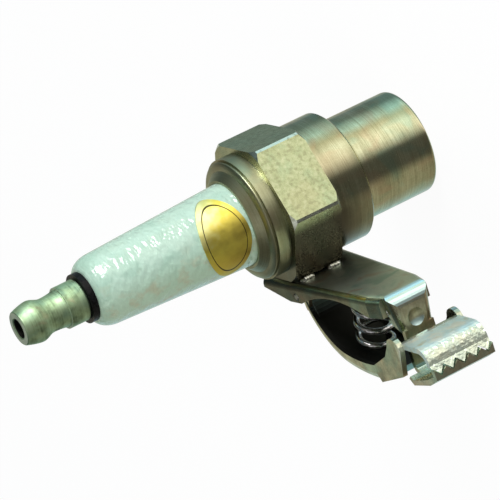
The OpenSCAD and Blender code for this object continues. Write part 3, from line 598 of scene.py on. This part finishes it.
class TESTER_OT_terminal(bpy.types.Operator):
    """Turned and plated terminal nut and its stud"""

    bl_idname = "tester.terminal"
    bl_label = "Finish the Terminal"

    # How fast the crest tapers to the tip, the angle of an edge that stays sharp, and the gap that is closed
    TAPER = 1.5
    SHARP = math.radians(25)
    CLOSED_GAP = 0.001 * MM
    # Patches of the patterns to a metre
    LATHE_LINES, BLOTCH, CASTS = (180, 180, 5200), 520, 300
    # Weights of lines and blotch in the plating's tone, places of its colours, and how dark the darkest is
    TONE = (0.25, 0.75)
    TONE_STOPS, DARKEST = (0.32, 0.50, 0.68), 0.35
    # Shares of the casts, and of the painted reflection on the tip's face
    CAST, TIP = 0.35, 0.8
    # Cosine between the tip's face and the axis, and the distances outside the hole where its shade fades
    TIP_FACE = (0.80, 0.95)
    HOLE_SHADE = band(0.15, 0.05)
    ROUGH = (0.64, 0.52)
    LINE_DEPTH = 0.006 * MM
    # The stud's thread, with a pitch of 1 mm
    THREAD = {"Scale": 314.0, "Distortion": 0.4}
    THREAD_STOPS, STUD_SHADES = (0.2, 0.8), ((0.30, 0.29, 0.26), (0.60, 0.59, 0.55))
    STUD_ROUGH = 0.4
    THREAD_DEPTH = 0.1 * MM

    def outline(self, nut):
        """Half section of the nut, as distances from its axis and heights."""
        low, top = (corner[2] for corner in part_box("terminal_nut"))
        diameters = nut.crest_d, nut.waist_d, nut.tip_d, nut.hole_d, nut.stud_hole_d
        crest, waist, tip, hole, stud = (diameter / 2 for diameter in diameters)
        foot, middle, ridge = low + nut.base_l, low + nut.waist_up, low + nut.crest_up
        shares = [(i + 1) / nut.curve_steps for i in range(nut.curve_steps)]
        rim = crest - nut.step
        edge = nut.chamfer / 2
        points = [(stud, low), (crest - nut.chamfer, low), (crest, low + nut.chamfer)]
        points += [(crest, foot), (rim, foot)]
        points += [(waist + (rim - waist) * (1 - t) ** 2, foot + (middle - foot) * t) for t in shares]
        points += [
            (waist + (crest - waist) * (1 - math.cos(math.pi * t)) / 2, middle + (ridge - middle) * t)
            for t in shares
        ]
        points += [(crest - (crest - tip) * t**self.TAPER, ridge + (top - edge - ridge) * t) for t in shares]
        points += [(tip - edge, top), (hole + nut.chamfer, top), (hole, top - nut.chamfer)]
        return points + [(hole, top - nut.hole_depth), (stud, top - nut.hole_depth)]

    def turn(self, scene, nut):
        """Turns the nut's half section round its axis."""
        bm = bmesh.new()
        verts = [bm.verts.new((distance, 0, height)) for distance, height in self.outline(nut)]
        edges = [bm.edges.new(pair) for pair in zip(verts, verts[1:] + verts[:1])]
        bmesh.ops.spin(
            bm,
            geom=verts + edges,
            cent=(0, 0, 0),
            axis=(0, 0, 1),
            angle=math.tau,
            steps=nut.sides,
            use_merge=True,
        )
        bmesh.ops.remove_doubles(bm, verts=bm.verts, dist=self.CLOSED_GAP)
        bmesh.ops.recalc_face_normals(bm, faces=bm.faces)
        for face in bm.faces:
            face.smooth = True
        for line in bm.edges:
            line.smooth = line.calc_face_angle(0.0) < self.SHARP
        made = put(scene, "snap_nut", bm)
        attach(made, "tester")
        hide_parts("terminal_nut")
        return made.data

    def plating(self, finishes, hole_d):
        """Plating of the nut, with a painted reflection on the tip's face and painted shade in its hole."""
        finish = Finish("terminal_plating", METAL)
        lines = finish.noise(self.LATHE_LINES, detail=2.0)
        blotch = finish.noise(self.BLOTCH)
        tone = finish.weigh((lines, blotch), self.TONE)
        dark = tuple(self.DARKEST * c for c in finishes.terminal)
        base = finish.ramp(tone, self.TONE_STOPS, (dark, finishes.terminal, finishes.terminal_pale))
        base = cast(finish, base, finishes, self.CAST, self.CASTS)
        # Painted reflection on the tip's flat face
        tip = finish.span(finish.facing()["Z"], *self.TIP_FACE, 0.0, self.TIP)
        base = finish.mix(tip, base, finishes.top_painted_light)
        place = finish.place()
        squares = (finish.math("POWER", place[axis], 2.0) for axis in ("X", "Y"))
        off_axis = finish.math("SQRT", finish.plus(*squares))
        fades = (hole_d / 2 + distance for distance in self.HOLE_SHADE)
        # Painted shade in the tip's hole
        base = finish.mix(finish.span(off_axis, *fades), base, finishes.shade)
        return finish.wear(base, finish.span(tone, *CLOUD, *self.ROUGH), lines, self.LINE_DEPTH)

    def execute(self, context):
        nut = context.scene.tester_nut
        plating = self.plating(context.scene.tester_finishes, nut.hole_d)
        self.turn(context.scene, nut).materials.append(plating)
        stud = Finish("stud_steel", METAL)
        wave = {"Vector": stud.source["Object"], **self.THREAD}
        thread = stud.node("TexWave", wave, bands_direction="Z").outputs["Fac"]
        steel = stud.ramp(thread, self.THREAD_STOPS, self.STUD_SHADES)
        dress(stud.wear(steel, self.STUD_ROUGH, thread, self.THREAD_DEPTH), "terminal_stud")
        return {"FINISHED"}


class TESTER_OT_inside(bpy.types.Operator):
    """Electrode, glass and packing inside the plug"""

    bl_idname = "tester.inside"
    bl_label = "Finish the Inside"

    # Each finish: metallic look, roughness, patches to a metre, dark and pale colour
    PLAIN = {
        "seal_glass": (0.0, 0.35, 2600, (0.05, 0.05, 0.055), (0.16, 0.15, 0.15)),
        "electrode_nickel": (1.0, 0.38, 1800, (0.34, 0.32, 0.29), (0.66, 0.64, 0.60)),
        "bare_copper": (1.0, 0.36, 1500, (0.45, 0.20, 0.10), (0.80, 0.46, 0.29)),
        "pressed_talc": (0.0, 0.85, 3800, (0.62, 0.62, 0.58), (0.86, 0.86, 0.82)),
        "ring_steel": (1.0, 0.42, 1900, (0.32, 0.31, 0.29), (0.62, 0.61, 0.58)),
    }
    # The pieces that have each finish
    PIECES = {
        "seal_glass": ("glass_seal",),
        "electrode_nickel": ("center_electrode",),
        "bare_copper": ("electrode_core", "seat_gasket"),
        "pressed_talc": ("talc_seal",),
        "ring_steel": ("lower_packing_ring", "upper_packing_ring"),
    }
    STOPS = (0.32, 0.68)
    ROUGH_SPREAD = 0.08
    MOTTLE_DEPTH = 0.02 * MM

    def execute(self, context):
        for name, (metallic, rough, scale, dark, pale) in self.PLAIN.items():
            finish = Finish(name, {"Metallic": metallic})
            mottle = finish.noise(scale)
            base = finish.ramp(mottle, self.STOPS, (dark, pale))
            varied = finish.span(mottle, *CLOUD, rough + self.ROUGH_SPREAD, rough - self.ROUGH_SPREAD)
            dress(finish.wear(base, varied, mottle, self.MOTTLE_DEPTH), *self.PIECES[name])
        return {"FINISHED"}


class TESTER_OT_label(bpy.types.Operator):
    """Gold foil of the label with its oval border line"""

    bl_idname = "tester.label"
    bl_label = "Print the Label"

    FOIL = {"Metallic": 0.85}
    # Share of the border line that is fully inked
    INKED = 0.6
    # Patches of the creases to a metre
    CREASES = 700
    # How dark the foil is made across the label by painted light and shade, by its creases, and from its
    # upper to its lower edge by painted shade
    DULL_ACROSS, DULL_CREASE, DULL_DOWN = (0.45, 0.05), 0.4, (-0.10, 0.22)
    FOIL_STOPS = (0.22, 0.44, 0.86)
    ROUGH = (0.46, 0.30)
    CREASE_DEPTH = 0.03 * MM

    def execute(self, context):
        finishes, label = context.scene.tester_finishes, context.scene.tester_label
        foil = Finish("gold_foil", self.FOIL)
        place = foil.place()
        across = foil.weigh((place["X"], place["Y"]), (math.cos(label.turn), math.sin(label.turn)))
        along = foil.math("SUBTRACT", place["Z"], label.middle_z)
        squares = (
            foil.math("POWER", foil.math("DIVIDE", distance, half - label.inset), 2.0)
            for distance, half in ((across, label.half_w), (along, label.half_h))
        )
        off_line = foil.math("ABSOLUTE", foil.math("SUBTRACT", foil.math("SQRT", foil.plus(*squares)), 1.0))
        half_line = label.line_w / (label.half_w + label.half_h - 2 * label.inset)
        inked = foil.span(off_line, half_line, self.INKED * half_line)
        crease = foil.noise(self.CREASES)
        # Painted highlight towards one side and the upper edge of the label, painted shade towards its lower
        # edge, and duller creases
        dimmed = foil.plus(
            foil.span(across, -label.half_w, label.half_w, *self.DULL_ACROSS),
            foil.times(crease, self.DULL_CREASE),
            foil.span(along, label.half_h, -label.half_h, *self.DULL_DOWN),
        )
        base = foil.ramp(dimmed, self.FOIL_STOPS, (finishes.foil_pale, finishes.foil, finishes.foil_dark))
        base = foil.mix(inked, base, finishes.print_ink)
        rough = foil.span(crease, *CLOUD, *self.ROUGH)
        dress(foil.wear(base, rough, crease, self.CREASE_DEPTH), "oval_label")
        return {"FINISHED"}


class TESTER_OT_spring(bpy.types.Operator):
    """Coil spring of round wire between the plate and the belly"""

    bl_idname = "tester.spring"
    bl_label = "Wind the Spring"

    # Patches of the mottling to a metre, places of its colours, and how dark and pale they are
    MOTTLE, STOPS = 2400, (0.30, 0.55, 0.85)
    DARK, PALE = 0.45, 1.6
    ROUGH = (0.18, 0.10)
    MOTTLE_DEPTH = 0.003 * MM

    def execute(self, context):
        spring = context.scene.tester_spring
        anchor = (-spring.top_drop, -spring.top_reach, spring.middle_z)
        bm = self.wind(spring)
        bmesh.ops.rotate(bm, cent=(0, 0, 0), matrix=Matrix.Rotation(-spring.lean, 3, "Z"), verts=bm.verts)
        bmesh.ops.translate(bm, vec=anchor, verts=bm.verts)
        # The wire is smooth, and its cut ends are flat
        for face in bm.faces:
            face.smooth = len(face.verts) == 4
        coil = put(context.scene, "coil_spring", bm)
        coil.data.materials.append(self.drawn_wire(context.scene.tester_finishes))
        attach(coil, "tester")
        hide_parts("clip_spring")
        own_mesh(coil)
        return {"FINISHED"}

    def wind(self, spring):
        """Winds the wire from the plate's end down along -X, and closes its ends."""
        coil_r = (spring.outer_d - spring.wire_d) / 2
        coil_l = spring.overall - 2 * spring.run
        steps = round(spring.steps * spring.turns)
        bm = bmesh.new()
        section = bmesh.ops.create_circle(
            bm,
            segments=spring.sides,
            radius=spring.wire_d / 2,
            matrix=Matrix.Translation((-spring.run, 0, coil_r)) @ Matrix.Rotation(math.pi / 2, 4, "X"),
        )["verts"]
        first = list({edge for vert in section for edge in vert.link_edges})
        wound = bmesh.ops.spin(
            bm,
            geom=section + first,
            cent=(0, 0, 0),
            axis=(1, 0, 0),
            dvec=(-coil_l / steps, 0, 0),
            angle=math.tau * spring.turns,
            steps=steps,
        )["geom_last"]
        self.run_out(bm, first, spring, 1.0)
        last = [item for item in wound if isinstance(item, bmesh.types.BMEdge)]
        self.run_out(bm, last, spring, -1.0)
        bmesh.ops.holes_fill(bm, edges=[edge for edge in bm.edges if edge.is_boundary], sides=spring.sides)
        bmesh.ops.recalc_face_normals(bm, faces=bm.faces)
        return bm

    def run_out(self, bm, edges, spring, way):
        """Bends the wire's end out of the coil, and runs it straight to what it presses on."""
        verts = {vert for edge in edges for vert in edge.verts}
        middle = sum((vert.co for vert in verts), Vector()) / len(verts)
        facing = -1.0 if middle.z > 0 else 1.0
        bent = bmesh.ops.spin(
            bm,
            geom=list(edges) + list(verts),
            cent=middle + Vector((way * spring.bend_r, 0, 0)),
            axis=(0, 0, 1),
            dvec=(0, 0, 0),
            angle=facing * math.pi / 2,
            steps=spring.bend_steps,
        )["geom_last"]
        rim = [item for item in bent if isinstance(item, bmesh.types.BMEdge)]
        grown = bmesh.ops.extrude_edge_only(bm, edges=rim)["geom"]
        ends = [item for item in grown if isinstance(item, bmesh.types.BMVert)]
        bmesh.ops.translate(bm, vec=(way * (spring.run - spring.bend_r), 0, 0), verts=ends)

    def drawn_wire(self, finishes):
        """Bright wire with the fine mottling of its drawing."""
        drawn = Finish("spring_wire", METAL)
        mottle = drawn.noise(self.MOTTLE)
        dark = tuple(self.DARK * c for c in finishes.wire)
        pale = tuple(min(1.0, self.PALE * c) for c in finishes.wire)
        base = drawn.ramp(mottle, self.STOPS, (dark, finishes.wire, pale))
        return drawn.wear(base, drawn.span(mottle, *CLOUD, *self.ROUGH), mottle, self.MOTTLE_DEPTH)


class TESTER_OT_studio(bpy.types.Operator):
    """Pale floor, soft lights, room and camera"""

    bl_idname = "tester.studio"
    bl_label = "Set the Studio"

    # Places and sizes of the lamps, and what they face
    AIM = Vector((0.0, -0.012, 0.030))
    KEY_AT, KEY_SIZE = Vector((0.57, -0.18, 0.11)), (0.26, 0.30)
    FILL_AT, FILL_SIZE = Vector((-0.10, -0.45, 0.55)), (0.5, 0.5)
    # The camera's right and upward directions, its sensor's width in millimetres and its nearest distance
    CAMERA_RIGHT = Vector((-0.30627, -0.46903, -0.82837))
    CAMERA_UP = Vector((0.90499, 0.12645, -0.40620))
    SENSOR_W, NEAR = 36.0, 0.01
    # The floor: sides, drop below the barrel's rim, colour, and share of its own white that the camera sees
    FLOOR_SIDES = 96
    FLOOR_DROP = 0.02 * MM
    PAPER = (0.86, 0.86, 0.86, 1.0)
    SEEN_GLOW = 0.88
    # The room: tint of its even light, and its white
    EVEN, WHITE = (0.94, 0.98, 1.0, 1.0), (1.0, 1.0, 1.0, 1.0)
    WARM, PLAIN, COOL = (1.0, 0.95, 0.75), (1.0, 0.98, 0.90), (0.64, 0.91, 1.0)
    # The room as mirrors show it: bearing from the tester in degrees, brightness and tint
    WALLS = (
        (-180, 0.4, WARM),
        (-135, 0.4, WARM),
        (-115, 0.1, PLAIN),
        (-75, 0.1, PLAIN),
        (-50, 1.4, PLAIN),
        (-30, 1.6, PLAIN),
        (-10, 0.9, WARM),
        (10, 1.2, COOL),
        (40, 0.3, COOL),
        (70, 0.3, COOL),
        (110, 0.7, WARM),
        (130, 0.8, COOL),
        (180, 0.4, WARM),
    )
    # The room's front, and the ranges over which its walls dim upwards and away from its back
    FRONT = (0.31, -0.95, 0.0)
    UPWARDS, FROM_BACK = (-0.15, 0.35), (-0.98, -0.80)

    def execute(self, context):
        scene, studio = context.scene, context.scene.tester_studio
        scene.view_settings.view_transform = "Standard"
        self.floor(scene, studio)
        self.room(scene, studio)
        self.light(scene, "key_light", self.KEY_AT, self.KEY_SIZE, studio.key)
        self.light(scene, "fill_light", self.FILL_AT, self.FILL_SIZE, studio.fill)
        self.camera(scene, studio)
        return {"FINISHED"}

    def camera(self, scene, studio):
        """A long lens that looks down on the tester from the front."""
        right = self.CAMERA_RIGHT.normalized()
        up = (self.CAMERA_UP - self.CAMERA_UP.dot(right) * right).normalized()
        lens = bpy.data.cameras.new("photo_camera")
        lens.lens = studio.lens
        lens.sensor_width = self.SENSOR_W
        lens.sensor_fit = "HORIZONTAL"
        lens.clip_start = self.NEAR
        made = bpy.data.objects.new("photo_camera", lens)
        turn = Matrix((right, up, right.cross(up))).transposed().to_4x4()
        made.matrix_world = Matrix.Translation(studio.camera_at) @ turn
        scene.collection.objects.link(made)
        scene.camera = made

    def light(self, scene, name, place, size, power):
        """A soft rectangular lamp that faces the tester."""
        lamp = bpy.data.lights.new(name, "AREA")
        lamp.shape = "RECTANGLE"
        lamp.size, lamp.size_y = size
        lamp.energy = power
        made = bpy.data.objects.new(name, lamp)
        turn = (place - self.AIM).to_track_quat("Z", "Y").to_matrix().to_4x4()
        made.matrix_world = Matrix.Translation(place) @ turn
        scene.collection.objects.link(made)

    def floor(self, scene, studio):
        """A wide pale disc under the barrel's rim, which mirrors see through."""
        bm = bmesh.new()
        bmesh.ops.create_circle(bm, cap_ends=True, segments=self.FLOOR_SIDES, radius=studio.floor_r)
        bmesh.ops.translate(bm, vec=(0, 0, -self.FLOOR_DROP), verts=bm.verts)
        made = put(scene, "studio_floor", bm)
        paper = bpy.data.materials.new("floor_paper")
        paper.use_nodes = True
        paper.node_tree.nodes.clear()
        nodes = Nodes(paper.node_tree)
        path = nodes.node("LightPath")
        matt = nodes.node("BsdfDiffuse", {"Color": self.PAPER})
        glow = nodes.node("Emission", {"Strength": studio.glow})
        seen = nodes.times(path.outputs["Is Camera Ray"], self.SEEN_GLOW)
        lit = nodes.blend(seen, matt, glow)
        whole = nodes.blend(nodes.mirrored(path), lit, nodes.node("BsdfTransparent"))
        nodes.node("OutputMaterial", {"Surface": whole.outputs[0]})
        made.data.materials.append(paper)

    def room(self, scene, studio):
        """A white room with even light. Mirrors show its walls, bright at the front right and dim above."""
        world = bpy.data.worlds.new("white_room")
        world.use_nodes = True
        nodes = Nodes(world.node_tree)
        path = nodes.node("LightPath")
        way = nodes.node("TexCoord").outputs["Generated"]
        parts = nodes.split(way)
        bearing = nodes.math("ARCTAN2", parts["Y"], parts["X"])
        tints = nodes.ramp(
            nodes.span(bearing, -math.pi, math.pi, kind="LINEAR"),
            [degrees / 360 + 0.5 for degrees, _, _ in self.WALLS],
            [[brightness * c for c in tint] for _, brightness, tint in self.WALLS],
        )
        front = nodes.node("VectorMath", {0: way, 1: self.FRONT}, operation="DOT_PRODUCT").outputs["Value"]
        shaded = nodes.times(nodes.span(parts["Z"], *self.UPWARDS), nodes.span(front, *self.FROM_BACK))
        strength = nodes.span(shaded, 0.0, 1.0, studio.wall, studio.wall * studio.ceiling, kind="LINEAR")
        walls = nodes.node("Background", {"Color": tints, "Strength": strength})
        white = nodes.node("Background", {"Color": self.WHITE})
        even = world.node_tree.nodes["Background"]
        nodes.feed(even.inputs["Color"], self.EVEN)
        nodes.feed(even.inputs["Strength"], studio.sky)
        lit = nodes.blend(path.outputs["Is Camera Ray"], even, white)
        whole = nodes.blend(nodes.mirrored(path), lit, walls)
        nodes.feed(world.node_tree.nodes["World Output"].inputs["Surface"], whole.outputs[0])
        scene.world = world


GROUPS = (
    ("tester_finishes", TesterFinishes),
    ("tester_label", TesterLabel),
    ("tester_nut", TesterNut),
    ("tester_spring", TesterSpring),
    ("tester_studio", TesterStudio),
)
STEPS = (
    TESTER_OT_shell,
    TESTER_OT_clip,
    TESTER_OT_insulator,
    TESTER_OT_terminal,
    TESTER_OT_inside,
    TESTER_OT_label,
    TESTER_OT_spring,
    TESTER_OT_studio,
)


class TESTER_PT_panel(bpy.types.Panel):
    """Shows the tester's steps and their values in the sidebar"""

    bl_idname = "TESTER_PT_panel"
    bl_label = "Spark Plug Tester"
    bl_space_type = "VIEW_3D"
    bl_region_type = "UI"
    bl_category = "Tester"

    def draw(self, context):
        for step in STEPS:
            self.layout.operator(step.bl_idname)
        for group, kind in GROUPS:
            box = self.layout.box()
            for name in kind.__annotations__:
                box.prop(getattr(context.scene, group), name)


def register():
    """Registers the classes and the scene's values."""
    for name, group in GROUPS:
        bpy.utils.register_class(group)
        setattr(bpy.types.Scene, name, PointerProperty(type=group))
    for item in (*STEPS, TESTER_PT_panel):
        bpy.utils.register_class(item)


def unregister():
    """Takes back what register added."""
    for item in reversed((*STEPS, TESTER_PT_panel)):
        bpy.utils.unregister_class(item)
    for name, group in reversed(GROUPS):
        delattr(bpy.types.Scene, name)
        bpy.utils.unregister_class(group)


def main():
    """Dresses the tester."""
    register()
    for step in STEPS:
        group, name = step.bl_idname.split(".")
        getattr(getattr(bpy.ops, group), name)()


if __name__ == "__main__":
    main()
